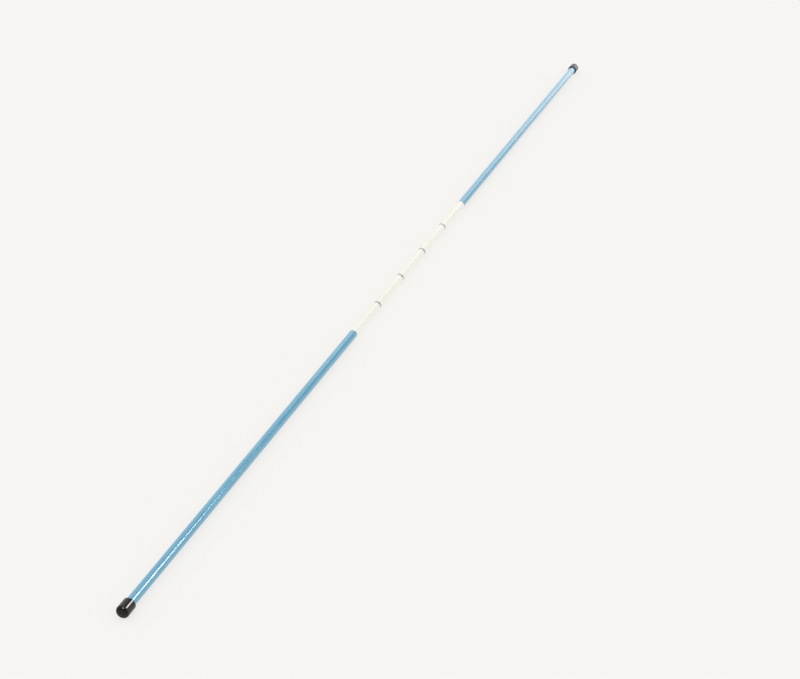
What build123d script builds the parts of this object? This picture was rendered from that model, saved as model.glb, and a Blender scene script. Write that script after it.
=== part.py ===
from build123d import *
import math
import os

# Golf alignment stick: a fibreglass rod in a blue sleeve, with five white wraps round
# its middle and a black vinyl cap pushed on each end. The narrow gaps between the wraps
# show the blue sleeve as four ring marks.
# Millimetres. The stick lies along X and its caps rest on Z = 0. The origin is on the
# ground, halfway along.

TOTAL_LENGTH = 1219.2          # over both caps: 48 in
ROD_DIAMETER = 8.0             # outside the blue sleeve: about 5/16 in
SLEEVE_WALL = 0.5
CORE_END_CHAMFER = 0.6
SLEEVE_SETBACK = 0.8           # the core stands this far out of the sleeve at each end

CAP_DIAMETER = 10.5
CAP_LENGTH = 13.0
CAP_END_WALL = 1.5
CAP_SHOULDER_RADIUS = 2.6      # between the side and the domed end
CAP_DOME_RADIUS = 16.0         # the end is very slightly domed
CAP_RIM_FILLET = 0.35          # outer edge of the mouth
CAP_MOUTH_CHAMFER = 0.25       # inner edge of the mouth
CAP_RADIAL_CLEARANCE = 0.04    # the cap slides on the sleeve
CAP_END_GAP = 0.3              # air between the core's end and the bottom of the bore

BAND_COUNT = 5                 # white wraps, evenly spaced about the middle
BAND_LENGTH = 60.0
BAND_GAP = 2.6                 # of blue sleeve between one wrap and the next
BAND_THICKNESS = 0.2

# Sizes worked out from those above.
ROD_RADIUS = ROD_DIAMETER / 2
CORE_RADIUS = ROD_RADIUS - SLEEVE_WALL
CAP_RADIUS = CAP_DIAMETER / 2
CAP_BORE_RADIUS = ROD_RADIUS + CAP_RADIAL_CLEARANCE
CORE_LENGTH = TOTAL_LENGTH - 2 * (CAP_END_WALL + CAP_END_GAP)
SLEEVE_LENGTH = CORE_LENGTH - 2 * SLEEVE_SETBACK
BAND_SPACING = BAND_LENGTH + BAND_GAP


def along_stick(shape, x=0.0):
    """Turns a shape made round Z to lie along X, at the height of the stick's axis."""
    return Pos(x, 0, CAP_RADIUS) * Rot(0, 90, 0) * shape


def tube(outer_radius, inner_radius, length):
    """A plain tube round Z, centred on the origin."""
    return Cylinder(outer_radius, length) - Cylinder(inner_radius, length)


def core_rod():
    """Solid rod with a chamfer round each end."""
    rod = Cylinder(CORE_RADIUS, CORE_LENGTH)
    return chamfer(rod.edges().filter_by(GeomType.CIRCLE), CORE_END_CHAMFER)


def end_cap():
    """A cup round X with its domed end at X = 0 and its mouth at X = CAP_LENGTH."""
    # The dome meets the shoulder, and the shoulder meets the side, without an edge.
    shoulder_height = CAP_RADIUS - CAP_SHOULDER_RADIUS
    centre_distance = CAP_DOME_RADIUS - CAP_SHOULDER_RADIUS
    shoulder_x = CAP_DOME_RADIUS - math.sqrt(centre_distance**2 - shoulder_height**2)
    dome_centre = Vector(CAP_DOME_RADIUS, 0)
    shoulder_centre = Vector(shoulder_x, shoulder_height)
    blend = dome_centre + (shoulder_centre - dome_centre).normalized() * CAP_DOME_RADIUS
    blend_angle = math.atan2(blend.Y - shoulder_centre.Y, blend.X - shoulder_centre.X)
    half_angle = (blend_angle + math.pi / 2) / 2
    half_way = Vector(math.cos(half_angle), math.sin(half_angle))
    shoulder_middle = shoulder_centre + half_way * CAP_SHOULDER_RADIUS

    half_blend = math.asin(blend.Y / CAP_DOME_RADIUS) / 2
    dome_middle = dome_centre + Vector(-math.cos(half_blend), math.sin(half_blend)) * CAP_DOME_RADIUS
    outline = [
        ThreePointArc((0, 0), dome_middle, blend),
        ThreePointArc(blend, shoulder_middle, (shoulder_x, CAP_RADIUS)),
        Polyline(
            (shoulder_x, CAP_RADIUS),
            (CAP_LENGTH, CAP_RADIUS),
            (CAP_LENGTH, CAP_BORE_RADIUS),
            (CAP_END_WALL, CAP_BORE_RADIUS),
            (CAP_END_WALL, 0),
            (0, 0),
        ),
    ]
    cup = revolve(make_face(outline), Axis.X)
    mouth = cup.faces().sort_by(Axis.X)[-1]
    mouth_edges = mouth.edges().sort_by(SortBy.RADIUS)
    cup = chamfer(mouth_edges[0], CAP_MOUTH_CHAMFER)
    mouth = cup.faces().sort_by(Axis.X)[-1]
    return fillet(mouth.edges().sort_by(SortBy.RADIUS)[-1], CAP_RIM_FILLET)


def build():
    """Every piece by its node name."""
    pieces = {
        "core_rod": along_stick(core_rod()),
        "blue_sleeve": along_stick(tube(ROD_RADIUS, CORE_RADIUS, SLEEVE_LENGTH)),
    }

    wrap = tube(ROD_RADIUS + BAND_THICKNESS, ROD_RADIUS, BAND_LENGTH)
    for number in range(1, BAND_COUNT + 1):
        steps_from_middle = number - (BAND_COUNT + 1) / 2
        pieces[f"white_band_{number}"] = along_stick(wrap, steps_from_middle * BAND_SPACING)

    left_cap = Pos(-TOTAL_LENGTH / 2, 0, CAP_RADIUS) * end_cap()
    pieces["left_end_cap"] = left_cap
    pieces["right_end_cap"] = mirror(left_cap, Plane.YZ)
    return pieces


os.makedirs("parts", exist_ok=True)
for name, piece in build().items():
    export_step(piece, f"parts/{name}.step")
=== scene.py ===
import math
import bpy
from mathutils import Matrix, Vector


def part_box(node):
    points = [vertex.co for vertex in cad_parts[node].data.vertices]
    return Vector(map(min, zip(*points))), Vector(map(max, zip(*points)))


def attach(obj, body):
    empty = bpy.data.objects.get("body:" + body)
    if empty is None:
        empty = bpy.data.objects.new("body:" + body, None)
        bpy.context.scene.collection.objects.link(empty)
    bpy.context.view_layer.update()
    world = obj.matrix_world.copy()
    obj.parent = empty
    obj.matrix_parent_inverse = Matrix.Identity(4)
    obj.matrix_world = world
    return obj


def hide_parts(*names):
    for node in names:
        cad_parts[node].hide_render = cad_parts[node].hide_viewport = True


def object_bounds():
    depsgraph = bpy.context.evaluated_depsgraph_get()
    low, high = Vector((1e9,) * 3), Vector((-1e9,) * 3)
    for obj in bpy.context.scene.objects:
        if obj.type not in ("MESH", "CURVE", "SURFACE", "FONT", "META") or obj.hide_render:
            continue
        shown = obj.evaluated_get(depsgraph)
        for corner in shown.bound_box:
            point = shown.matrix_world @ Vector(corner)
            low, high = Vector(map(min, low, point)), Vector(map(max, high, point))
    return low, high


# A golf alignment stick: fibreglass core, blue plastic sleeve, five white film wraps round
# the middle and a black vinyl cap pushed on each end. Metres, in the frame of the CAD model:
# the stick lies along X, its caps rest on Z = 0, and the origin is halfway along.

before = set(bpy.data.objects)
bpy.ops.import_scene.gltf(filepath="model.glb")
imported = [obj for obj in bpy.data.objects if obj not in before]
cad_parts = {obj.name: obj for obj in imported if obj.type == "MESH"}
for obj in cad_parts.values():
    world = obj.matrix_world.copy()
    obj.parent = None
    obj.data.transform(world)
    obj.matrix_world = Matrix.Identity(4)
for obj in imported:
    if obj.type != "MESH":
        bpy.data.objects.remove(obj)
cad_low, cad_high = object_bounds()

MM = 0.001
FULL_TURN = 2 * math.pi
ROUND_STEPS = 96                   # facets round the stick, on every piece
CORNER_STEPS = 4                   # facets round a small rounded corner
SUPPORT_SHARE = 0.3                # of a rounding, from its end to the ring that supports it
ON_AXIS = 1e-7                     # a smaller radius than this is a point on the axis
WRAP_COUNT = 5

# Sizes of the visible detail. The CAD nodes give the rest.
CORE_CHAMFER = 0.6 * MM
CORE_EDGE_ROUNDING = 0.12 * MM
SLEEVE_LIP_ROUNDING = 0.12 * MM
FILM_THICKNESS = 0.1 * MM          # of a white wrap, doubled where its end laps its start
FILM_EDGE_ROUNDING = 0.04 * MM
FILM_LAP = math.radians(38)        # how far round the stick the lap reaches
FILM_LAP_SLOPE = 0.35              # share of the lap over which the film climbs
FILM_LAP_EDGE = 0.004              # radians over which the lap's free edge drops
FILM_LAP_START = -118              # degrees round the stick, from +Y towards +Z
FILM_LAP_STEP = 9                  # degrees more on each wrap, as hand wrapping gives
CAP_SHOULDER = 2.6 * MM
CAP_DOME = 16.0 * MM
CAP_LIP_ROUNDING = 0.45 * MM
CAP_MOUTH_ROUNDING = 0.25 * MM
CAP_END_WALL = 1.5 * MM
CAP_BORE_RADIUS = 4.04 * MM
CAP_FLOOR_ROUNDING = 0.6 * MM
CAP_DOME_STEPS = 10
CAP_SHOULDER_STEPS = 16
CAP_SIDE_STEPS = 24                # rings along the cap's side, and along its bore
CAP_LIP_STEPS = 8
CAP_BORE_STEPS = 6                 # facets round the mouth's corner, and round the floor's


# ---------------------------------------------------------------- mesh code

def axis_of(node):
    """Where a round node's axis is (Y and Z), its radius, and its two ends along X."""
    low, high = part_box(node)
    middle = (low + high) / 2
    return middle.y, middle.z, (high.z - low.z) / 2, low.x, high.x


def arc(centre, radius, start, end, steps):
    """Points along an arc in an outline. Angles are in degrees from +X, towards +radius."""
    angles = [math.radians(start + (end - start) * step / steps) for step in range(steps + 1)]
    return [(centre[0] + radius * math.cos(a), centre[1] + radius * math.sin(a)) for a in angles]


def straight(start, end, steps):
    """Points along a line in an outline, without its two ends."""
    shares = [step / steps for step in range(1, steps)]
    return [
        (start[0] + (end[0] - start[0]) * share, start[1] + (end[1] - start[1]) * share)
        for share in shares
    ]


def rounded_corner(corner, before, after, rounding):
    """Points that round a corner of an outline between the directions to two other points.

    One more point each side of the rounding keeps its shading off the straight runs.
    """
    corner = Vector(corner)
    to_before = (Vector(before) - corner).normalized()
    to_after = (Vector(after) - corner).normalized()
    half = to_before.angle(to_after) / 2
    reach = rounding / math.tan(half)
    start = corner + to_before * reach
    end = corner + to_after * reach
    points = [start + to_before * reach * SUPPORT_SHARE]
    for step in range(CORNER_STEPS + 1):
        share = step / CORNER_STEPS
        points.append(start.lerp(corner, share).lerp(corner.lerp(end, share), share))
    points.append(end + to_after * reach * SUPPORT_SHARE)
    return [(point.x, point.y) for point in points]


def rounded_outline(corners, roundings):
    """A closed outline whose corners are rounded, each by its own amount."""
    outline = []
    count = len(corners)
    for number, (corner, rounding) in enumerate(zip(corners, roundings)):
        before = corners[number - 1]
        after = corners[(number + 1) % count]
        outline += rounded_corner(corner, before, after, rounding) if rounding else [corner]
    return outline


def mesh_piece(name, vertices, faces, sharp_angle):
    """A smooth-shaded object with hard edges where its faces meet at a steeper angle."""
    mesh = bpy.data.meshes.new(name)
    mesh.from_pydata(vertices, [], faces)
    mesh.validate()
    mesh.polygons.foreach_set("use_smooth", [True] * len(mesh.polygons))
    mesh.set_sharp_from_angle(angle=math.radians(sharp_angle))
    piece = bpy.data.objects.new(name, mesh)
    bpy.context.scene.collection.objects.link(piece)
    return piece


def turned(name, outline, y, z, sharp_angle, closed=False):
    """A piece turned round the stick's axis from an outline of (x, radius) points.

    An outline point on the axis becomes one vertex. A closed outline joins its last point
    to its first, as a tube's does.
    """
    vertices = []
    rings = []
    for x, radius in outline:
        if radius < ON_AXIS:
            rings.append([len(vertices)])
            vertices.append((x, y, z))
            continue
        rings.append(list(range(len(vertices), len(vertices) + ROUND_STEPS)))
        for step in range(ROUND_STEPS):
            angle = FULL_TURN * step / ROUND_STEPS
            vertices.append((x, y + radius * math.cos(angle), z + radius * math.sin(angle)))

    pairs = list(zip(rings, rings[1:]))
    if closed:
        pairs.append((rings[-1], rings[0]))
    faces = []
    for ring, following in pairs:
        for step in range(ROUND_STEPS):
            beside = (step + 1) % ROUND_STEPS
            if len(ring) == 1:
                faces.append((ring[0], following[beside], following[step]))
            elif len(following) == 1:
                faces.append((ring[step], ring[beside], following[0]))
            else:
                faces.append((ring[step], ring[beside], following[beside], following[step]))
    return mesh_piece(name, vertices, faces, sharp_angle)


def finish_piece(piece, body, node, material):
    """Gives a piece its material and its place in the frame."""
    piece.data.materials.append(material)
    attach(piece, body)
    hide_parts(node)


# ---------------------------------------------------------------- node helpers

def add(tree, kind, **values):
    """A node. Values name its settings, or its sockets with spaces as underscores."""
    node = tree.nodes.new("ShaderNode" + kind)
    for name, value in values.items():
        if hasattr(node, name) and name not in node.inputs:
            setattr(node, name, value)
        else:
            node.inputs[name.replace("_", " ")].default_value = value
    return node


def ramp(tree, source, over, to=(0.0, 1.0)):
    """Maps a value from one pair of limits to another, smoothly and without overshoot."""
    node = add(tree, "MapRange", interpolation_type="SMOOTHSTEP")
    for name, value in zip(("From Min", "From Max", "To Min", "To Max"), (*over, *to)):
        node.inputs[name].default_value = value
    tree.links.new(source, node.inputs["Value"])
    return node.outputs["Result"]


def noise(tree, scale, detail, stretch=(1, 1, 1)):
    """A noise pattern fixed to the piece. Scale is in cells per metre."""
    place = add(tree, "TexCoord")
    mapping = add(tree, "Mapping", Scale=stretch)
    tree.links.new(place.outputs["Object"], mapping.inputs["Vector"])
    texture = add(tree, "TexNoise", Scale=scale, Detail=detail, Roughness=0.55)
    tree.links.new(mapping.outputs["Vector"], texture.inputs["Vector"])
    return texture.outputs["Fac"]


def blend_colours(tree, factor, first, second):
    """Mixes two colours, each a tuple or a socket."""
    node = add(tree, "Mix", data_type="RGBA")
    tree.links.new(factor, node.inputs["Factor"])
    # A Mix node has an A, a B and a Result for each kind of data. These are the colours'.
    for socket, colour in ((node.inputs[6], first), (node.inputs[7], second)):
        if isinstance(colour, tuple):
            socket.default_value = (*colour, 1)
        else:
            tree.links.new(colour, socket)
    return node.outputs[2]


def plus(tree, first, second, weight=1.0):
    """first + second * weight."""
    node = add(tree, "Math", operation="MULTIPLY_ADD")
    tree.links.new(second, node.inputs[0])
    node.inputs[1].default_value = weight
    tree.links.new(first, node.inputs[2])
    return node.outputs[0]


def times(tree, first, second):
    """first * second."""
    node = add(tree, "Math", operation="MULTIPLY")
    tree.links.new(first, node.inputs[0])
    tree.links.new(second, node.inputs[1])
    return node.outputs[0]


def x_of(tree, vector):
    """The X of a vector."""
    parts = add(tree, "SeparateXYZ")
    tree.links.new(vector, parts.inputs[0])
    return parts.outputs["X"]


def near_any(tree, places, reach):
    """1 where the piece is within reach of one of those places along X, and 0 elsewhere."""
    along = x_of(tree, add(tree, "TexCoord").outputs["Object"])
    total = None
    for place in places:
        here = add(tree, "Math", operation="COMPARE")
        tree.links.new(along, here.inputs[0])
        here.inputs[1].default_value = place
        here.inputs[2].default_value = reach
        total = plus(tree, here.outputs[0], total) if total else here.outputs[0]
    return total


def for_rays(tree, kind, value, otherwise):
    """One value for the rays of that kind and another for the rest, each a number or a socket."""
    node = add(tree, "Mix", data_type="FLOAT")
    tree.links.new(add(tree, "LightPath").outputs[f"Is {kind} Ray"], node.inputs["Factor"])
    for socket, source in ((node.inputs["A"], otherwise), (node.inputs["B"], value)):
        if isinstance(source, float):
            socket.default_value = source
        else:
            tree.links.new(source, socket)
    return node.outputs["Result"]


def principled(name, **values):
    """A new material, its tree and its shader, with values that are the same all over."""
    made = bpy.data.materials.new(name)
    made.use_nodes = True
    shader = made.node_tree.nodes["Principled BSDF"]
    for socket, value in values.items():
        shader.inputs[socket.replace("_", " ")].default_value = value
    return made, made.node_tree, shader


def link_surface(tree, shader, colour, roughness, height, relief):
    """Gives a shader its colour, its roughness and a bump of that relief in metres."""
    bump = add(tree, "Bump", Strength=1.0, Distance=relief)
    tree.links.new(height, bump.inputs["Height"])
    tree.links.new(colour, shader.inputs["Base Color"])
    tree.links.new(roughness, shader.inputs["Roughness"])
    tree.links.new(bump.outputs["Normal"], shader.inputs["Normal"])


# ---------------------------------------------------------------- materials

def wrap_gaps():
    """Where the gaps between the wraps are along X, and half the width of one."""
    numbers = range(1, WRAP_COUNT + 1)
    starts = [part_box(f"white_band_{number}")[1].x for number in numbers[:-1]]
    ends = [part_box(f"white_band_{number}")[0].x for number in numbers[1:]]
    middles = [(start + end) / 2 for start, end in zip(starts, ends)]
    return middles, (ends[0] - starts[0]) / 2


def sleeve_material():
    """Glossy, slightly milky blue plastic, drawn out lengthwise. The narrow gaps between the
    white wraps are tinted grey."""
    made, tree, shader = principled(
        "blue_sleeve_plastic", IOR=1.4, Coat_Weight=1.0, Coat_IOR=1.4, Coat_Roughness=0.16
    )
    clouds = noise(tree, 60, detail=2)
    streaks = noise(tree, 1500, detail=2, stretch=(0.02, 1, 1))
    deep = (0.100, 0.342, 0.520)
    pale = (0.125, 0.382, 0.560)
    gap_grey = (0.290, 0.300, 0.295)
    shade = ramp(tree, plus(tree, clouds, streaks, 0.6), (0.5, 1.1))
    plastic = blend_colours(tree, shade, deep, pale)
    # In the narrow gaps between the wraps the blue is mixed most of the way to a plain grey.
    gaps = near_any(tree, *wrap_gaps())
    greyer = times(tree, gaps, ramp(tree, clouds, (0.2, 0.7), to=(0.7, 0.85)))
    colour = blend_colours(tree, greyer, plastic, gap_grey)
    roughness = ramp(tree, streaks, (0.3, 0.7), to=(0.16, 0.26))
    link_surface(tree, shader, colour, roughness, streaks, 0.004 * MM)
    return made


def film_material():
    """White vinyl film, smooth and glossy, with a trace of yellow."""
    made, tree, shader = principled("white_wrap_film", IOR=1.4)
    clouds = noise(tree, 90, detail=3)
    grain = noise(tree, 2500, detail=2)
    bright = (0.87, 0.875, 0.83)
    dull = (0.85, 0.855, 0.80)
    colour = blend_colours(tree, ramp(tree, clouds, (0.35, 0.7)), bright, dull)
    roughness = ramp(tree, clouds, (0.3, 0.7), to=(0.2, 0.3))
    link_surface(tree, shader, colour, roughness, grain, 0.004 * MM)
    return made


def vinyl_material():
    """Soft black dipped vinyl, with the gloss and faint unevenness of a dipped skin."""
    made, tree, shader = principled("black_cap_vinyl", IOR=1.47)
    skin = noise(tree, 500, detail=3)
    grain = noise(tree, 4000, detail=2)
    black = (0.0035, 0.0022, 0.0012)
    greyer = (0.0080, 0.0055, 0.0035)
    colour = blend_colours(tree, ramp(tree, skin, (0.4, 0.75)), black, greyer)
    roughness = ramp(tree, skin, (0.3, 0.7), to=(0.07, 0.13))
    link_surface(tree, shader, colour, roughness, plus(tree, skin, grain, 0.15), 0.01 * MM)
    return made


def fibreglass_material():
    """Pale resin packed with straight glass fibres along the rod."""
    made, tree, shader = principled("fibreglass_core", IOR=1.53)
    fibres = noise(tree, 3000, detail=3, stretch=(0.01, 1, 1))
    clouds = noise(tree, 150, detail=2)
    resin = (0.60, 0.59, 0.44)
    glass = (0.78, 0.78, 0.66)
    shade = ramp(tree, plus(tree, fibres, clouds, 0.4), (0.5, 0.95))
    colour = blend_colours(tree, shade, resin, glass)
    roughness = ramp(tree, fibres, (0.3, 0.7), to=(0.45, 0.65))
    link_surface(tree, shader, colour, roughness, fibres, 0.02 * MM)
    return made


# ---------------------------------------------------------------- the core rod

def build_core(material):
    """Solid rod with a chamfer, broken at both its edges, round each cut end."""
    y, z, radius, left, right = axis_of("core_rod")
    middle_of_end = (left, 0.0)
    inner_edge = (left, radius - CORE_CHAMFER)
    outer_edge = (left + CORE_CHAMFER, radius)
    far_along = (0.0, radius)
    left_end = [middle_of_end]
    left_end += rounded_corner(inner_edge, middle_of_end, outer_edge, CORE_EDGE_ROUNDING)
    left_end += rounded_corner(outer_edge, inner_edge, far_along, CORE_EDGE_ROUNDING)
    right_end = [(left + right - x, r) for x, r in reversed(left_end)]
    core = turned("core_rod_piece", left_end + right_end, y, z, sharp_angle=60)
    finish_piece(core, "stick", "core_rod", material)


# ---------------------------------------------------------------- the blue sleeve

def build_sleeve(material):
    """Thin tube over the core, its cut lips slightly rounded."""
    y, z, radius, left, right = axis_of("blue_sleeve")
    inner = axis_of("core_rod")[2]
    corners = [(left, inner), (left, radius), (right, radius), (right, inner)]
    outline = rounded_outline(corners, [SLEEVE_LIP_ROUNDING] * len(corners))
    sleeve = turned("blue_sleeve_piece", outline, y, z, sharp_angle=60, closed=True)
    finish_piece(sleeve, "stick", "blue_sleeve", material)


# ---------------------------------------------------------------- the white wraps

def film_outer_radius(inner, angle, lap_start):
    """Outside of one wrap at an angle round the stick: higher over the lap, with a free edge
    at its start and a slope where the film climbs over its own beginning."""
    into_lap = (angle - lap_start) % FULL_TURN
    if into_lap > FILM_LAP:
        return inner + FILM_THICKNESS
    rise = min(1.0, (FILM_LAP - into_lap) / (FILM_LAP * FILM_LAP_SLOPE))
    return inner + FILM_THICKNESS * (1 + rise)


def build_wrap(number, material):
    """One turn of film with rounded edges, its end lapped over its start underneath."""
    node = f"white_band_{number}"
    y, z, _, left, right = axis_of(node)
    inner = axis_of("blue_sleeve")[2]
    lap_start = math.radians(FILM_LAP_START + FILM_LAP_STEP * number)
    angles = [FULL_TURN * step / ROUND_STEPS for step in range(ROUND_STEPS)]
    angles += [lap_start % FULL_TURN, (lap_start - FILM_LAP_EDGE) % FULL_TURN]
    angles.sort()

    vertices = []
    rows = []
    for angle in angles:
        outer = film_outer_radius(inner, angle, lap_start)
        corners = [(left, inner), (left, outer), (right, outer), (right, inner)]
        roundings = [0, FILM_EDGE_ROUNDING, FILM_EDGE_ROUNDING, 0]
        row = []
        for x, radius in rounded_outline(corners, roundings):
            row.append(len(vertices))
            vertices.append((x, y + radius * math.cos(angle), z + radius * math.sin(angle)))
        rows.append(row)

    faces = []
    for row, beside in zip(rows, rows[1:] + rows[:1]):
        for place in range(len(row)):
            following = (place + 1) % len(row)
            faces.append((row[place], beside[place], beside[following], row[following]))
    wrap = mesh_piece(f"{node}_piece", vertices, faces, sharp_angle=50)
    finish_piece(wrap, "stick", node, material)


# ---------------------------------------------------------------- the end caps

def cap_outline(length, radius):
    """A cap's outline from the middle of its domed end, round the lip and down its bore."""
    shoulder_height = radius - CAP_SHOULDER
    reach = math.sqrt((CAP_DOME - CAP_SHOULDER) ** 2 - shoulder_height ** 2)
    shoulder = (CAP_DOME - reach, shoulder_height)
    dome_edge = 180 - math.degrees(math.asin(shoulder_height / (CAP_DOME - CAP_SHOULDER)))
    outline = arc((CAP_DOME, 0), CAP_DOME, 180, dome_edge, CAP_DOME_STEPS)
    outline[0] = (0.0, 0.0)
    outline += arc(shoulder, CAP_SHOULDER, dome_edge, 90, CAP_SHOULDER_STEPS)[1:]

    lip = (length - CAP_LIP_ROUNDING, radius - CAP_LIP_ROUNDING)
    outline += straight(outline[-1], (lip[0], radius), CAP_SIDE_STEPS)
    outline += arc(lip, CAP_LIP_ROUNDING, 90, 0, CAP_LIP_STEPS)
    mouth = (length - CAP_MOUTH_ROUNDING, CAP_BORE_RADIUS + CAP_MOUTH_ROUNDING)
    outline += arc(mouth, CAP_MOUTH_ROUNDING, 0, -90, CAP_BORE_STEPS)
    floor = (CAP_END_WALL + CAP_FLOOR_ROUNDING, CAP_BORE_RADIUS - CAP_FLOOR_ROUNDING)
    outline += straight(outline[-1], (floor[0], CAP_BORE_RADIUS), CAP_SIDE_STEPS)
    outline += arc(floor, CAP_FLOOR_ROUNDING, 90, 180, CAP_BORE_STEPS)
    return outline + [(CAP_END_WALL, 0.0)]


def build_cap(side, material):
    """A dipped vinyl cup on one end of the stick."""
    node = f"{side}_end_cap"
    y, z, radius, left, right = axis_of(node)
    outline = cap_outline(right - left, radius)
    if side == "left":
        placed = [(left + x, r) for x, r in outline]
    else:
        placed = [(right - x, r) for x, r in reversed(outline)]
    cap = turned(f"{node}_piece", placed, y, z, sharp_angle=40)
    finish_piece(cap, f"{side}_cap", node, material)


# ---------------------------------------------------------------- floor, light and camera

STUDIO_WHITE = (0.913, 0.896, 0.871)
SOFT_LIGHT = 1.15                  # of the room, as it lights matt surfaces
GLOSS_LIGHT = 1.1                  # of the room, as glossy surfaces mirror it
LIGHT_BEHIND = 0.25                # share of that which is left beyond the left end
BEHIND_EDGES = (-0.8, 0.5)         # X of the directions where that share starts and ends
GAP_DIRECTION = (-22, 31)          # heading and elevation of the dark gap, in degrees
GAP_EDGES = (30, 10)               # degrees from its middle, where it starts and is deepest
GAP_LIGHT = 0.1
FLOOR_RADIUS = 60.0
FLOOR_STEPS = 64
FLOOR_GREY = 0.2                   # of the paint, under its own glow
FLOOR_GLOW = 0.79
FLOOR_GLOW_BEHIND = 0.3            # of the floor beyond the left end, in glossy surfaces
FLOOR_GLOW_EDGE = 0.02
PANELS_X = 1.5                     # of the three panels beyond the right end


def from_angles(heading, elevation):
    """A direction from its heading, from +X towards +Y, and its elevation, in degrees."""
    across = math.cos(math.radians(elevation))
    return Vector((
        across * math.cos(math.radians(heading)),
        across * math.sin(math.radians(heading)),
        math.sin(math.radians(elevation)),
    ))


def build_floor():
    """A wide pale floor, lit from within like a light table, so that shadows stay faint. The
    left cap's end mirrors a dimmer floor, as the dark side of a studio gives it."""
    angles = [FULL_TURN * step / FLOOR_STEPS for step in range(FLOOR_STEPS)]
    circle = [(FLOOR_RADIUS * math.cos(a), FLOOR_RADIUS * math.sin(a), 0.0) for a in angles]
    mesh = bpy.data.meshes.new("studio_floor")
    mesh.from_pydata(circle, [], [tuple(range(FLOOR_STEPS))])
    floor = bpy.data.objects.new("studio_floor", mesh)
    bpy.context.scene.collection.objects.link(floor)

    made, tree, shader = principled(
        "studio_floor_paint",
        Base_Color=(FLOOR_GREY, FLOOR_GREY, FLOOR_GREY, 1),
        Roughness=1.0,
        Specular_IOR_Level=0.0,
        Emission_Color=(*STUDIO_WHITE, 1),
    )
    along = x_of(tree, add(tree, "TexCoord").outputs["Object"])
    edges = (cad_low.x - FLOOR_GLOW_EDGE, cad_low.x + FLOOR_GLOW_EDGE)
    mirrored = ramp(tree, along, edges, to=(FLOOR_GLOW_BEHIND, FLOOR_GLOW))
    glow = for_rays(tree, "Glossy", mirrored, FLOOR_GLOW)
    tree.links.new(glow, shader.inputs["Emission Strength"])
    floor.data.materials.append(made)


def build_world():
    """Soft white light from all round. Glossy surfaces mirror one dark gap in it, between the
    softboxes, and less of it beyond the left end. The camera itself sees plain white behind
    the floor."""
    world = bpy.data.worlds.new("studio")
    bpy.context.scene.world = world
    world.use_nodes = True
    tree = world.node_tree
    room = tree.nodes["Background"]
    room.inputs["Color"].default_value = (*STUDIO_WHITE, 1)

    direction = add(tree, "TexCoord").outputs["Generated"]
    towards_gap = add(tree, "VectorMath", operation="DOT_PRODUCT")
    towards_gap.inputs[1].default_value = from_angles(*GAP_DIRECTION)
    tree.links.new(direction, towards_gap.inputs[0])
    gap_edges = [math.cos(math.radians(angle)) for angle in GAP_EDGES]
    around_gap = ramp(tree, towards_gap.outputs["Value"], gap_edges, to=(GLOSS_LIGHT, GAP_LIGHT))
    forwards = ramp(tree, x_of(tree, direction), BEHIND_EDGES, to=(LIGHT_BEHIND, 1.0))
    mirrored = times(tree, around_gap, forwards)
    lighting = for_rays(tree, "Glossy", mirrored, SOFT_LIGHT)
    tree.links.new(for_rays(tree, "Camera", 1.0, lighting), room.inputs["Strength"])


def build_panel(name, place, target, width, height, brightness, upright=(0, 0, 1), oval=False):
    """A softbox, facing its target, that shows only in glossy surfaces. Its height runs as near
    to the upright direction as facing the target lets it."""
    light = bpy.data.lights.new(name, "AREA")
    light.shape = "ELLIPSE" if oval else "RECTANGLE"
    light.size = width
    light.size_y = height
    area = width * height * (math.pi / 4 if oval else 1)
    light.energy = brightness * area * math.pi
    backwards = (Vector(place) - Vector(target)).normalized()
    up = (Vector(upright) - backwards * backwards.dot(Vector(upright))).normalized()
    across = up.cross(backwards)
    facing = Matrix((across, up, backwards)).transposed().to_4x4()
    panel = bpy.data.objects.new(name, light)
    panel.matrix_world = Matrix.Translation(place) @ facing
    panel.visible_camera = False
    panel.visible_diffuse = False
    bpy.context.scene.collection.objects.link(panel)


def build_panel_beyond(name, y, z, width, height, brightness):
    """A softbox beyond the right end that faces straight back along the stick."""
    build_panel(name, (PANELS_X, y, z), (0.0, y, z), width, height, brightness)


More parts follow.
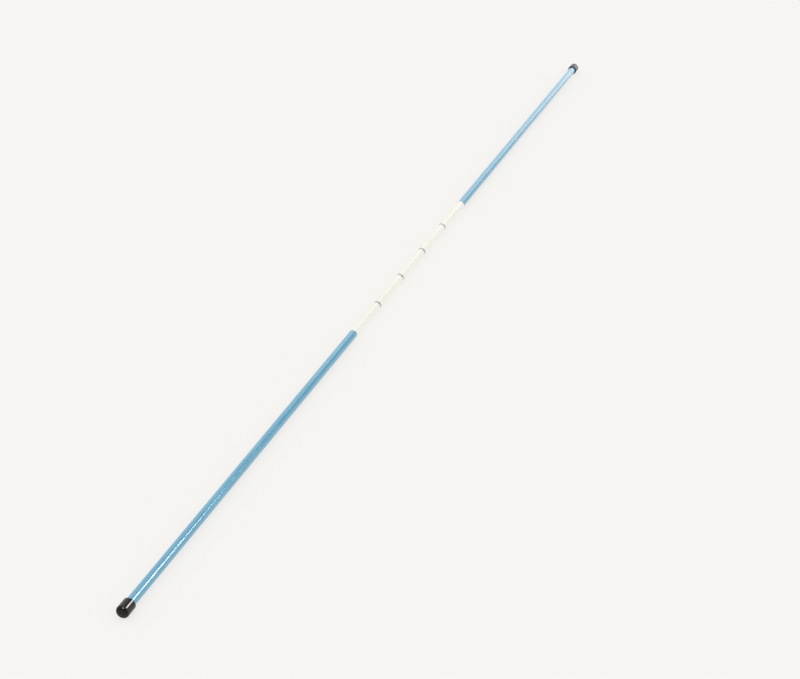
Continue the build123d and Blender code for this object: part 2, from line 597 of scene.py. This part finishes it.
def build_lights():
    """The oval key softbox draws the bright line that fades out along the left end. The three
    panels beyond the right end lighten the far half. The lamp behind makes the glint on the
    left cap's shoulder."""
    left_end = (cad_low.x, 0.0, 0.0)
    build_panel(
        "key_softbox", (0.253, -0.570, 0.758), left_end, width=0.42, height=0.42,
        brightness=15.5, upright=(-0.827, -0.240, 0.508), oval=True,
    )
    build_panel_beyond("right_panel", y=-0.21, z=0.45, width=0.5, height=0.9, brightness=2.2)
    build_panel_beyond("left_panel", y=0.35, z=0.45, width=0.62, height=0.86, brightness=0.3)
    build_panel_beyond("upper_panel", y=0.15, z=1.14, width=1.0, height=0.48, brightness=1.1)
    build_panel(
        "lamp_behind", (-1.35, 0.1, 1.3), left_end, width=0.62, height=0.62, brightness=12.0
    )


CAMERA_PLACE = (-1.5566, -0.4932, 0.8417)
CAMERA_HEADING = 17.722            # degrees from +X towards +Y
CAMERA_PITCH = -29.434
CAMERA_ROLL = 4.836
CAMERA_LENS_MM = 83.86
CAMERA_SENSOR_MM = 36.0
CAMERA_NEAREST = 0.05
CAMERA_FARTHEST = 200.0


def build_camera():
    """Looks along the stick from above its left end."""
    camera = bpy.data.cameras.new("camera")
    camera.lens = CAMERA_LENS_MM
    camera.sensor_width = CAMERA_SENSOR_MM
    camera.clip_start = CAMERA_NEAREST
    camera.clip_end = CAMERA_FARTHEST
    holder = bpy.data.objects.new("camera", camera)
    level = Matrix.Rotation(math.radians(90 + CAMERA_PITCH), 4, "X")
    turn = Matrix.Rotation(math.radians(CAMERA_HEADING - 90), 4, "Z")
    roll = Matrix.Rotation(math.radians(CAMERA_ROLL), 4, "Z")
    holder.matrix_world = Matrix.Translation(CAMERA_PLACE) @ turn @ level @ roll
    bpy.context.scene.collection.objects.link(holder)
    bpy.context.scene.camera = holder


# ---------------------------------------------------------------- the whole scene

build_core(fibreglass_material())
build_sleeve(sleeve_material())
film = film_material()
for wrap_number in range(1, WRAP_COUNT + 1):
    build_wrap(wrap_number, film)
vinyl = vinyl_material()
build_cap("left", vinyl)
build_cap("right", vinyl)
build_floor()
build_world()
build_lights()
build_camera()
bpy.context.scene.view_settings.view_transform = "Standard"
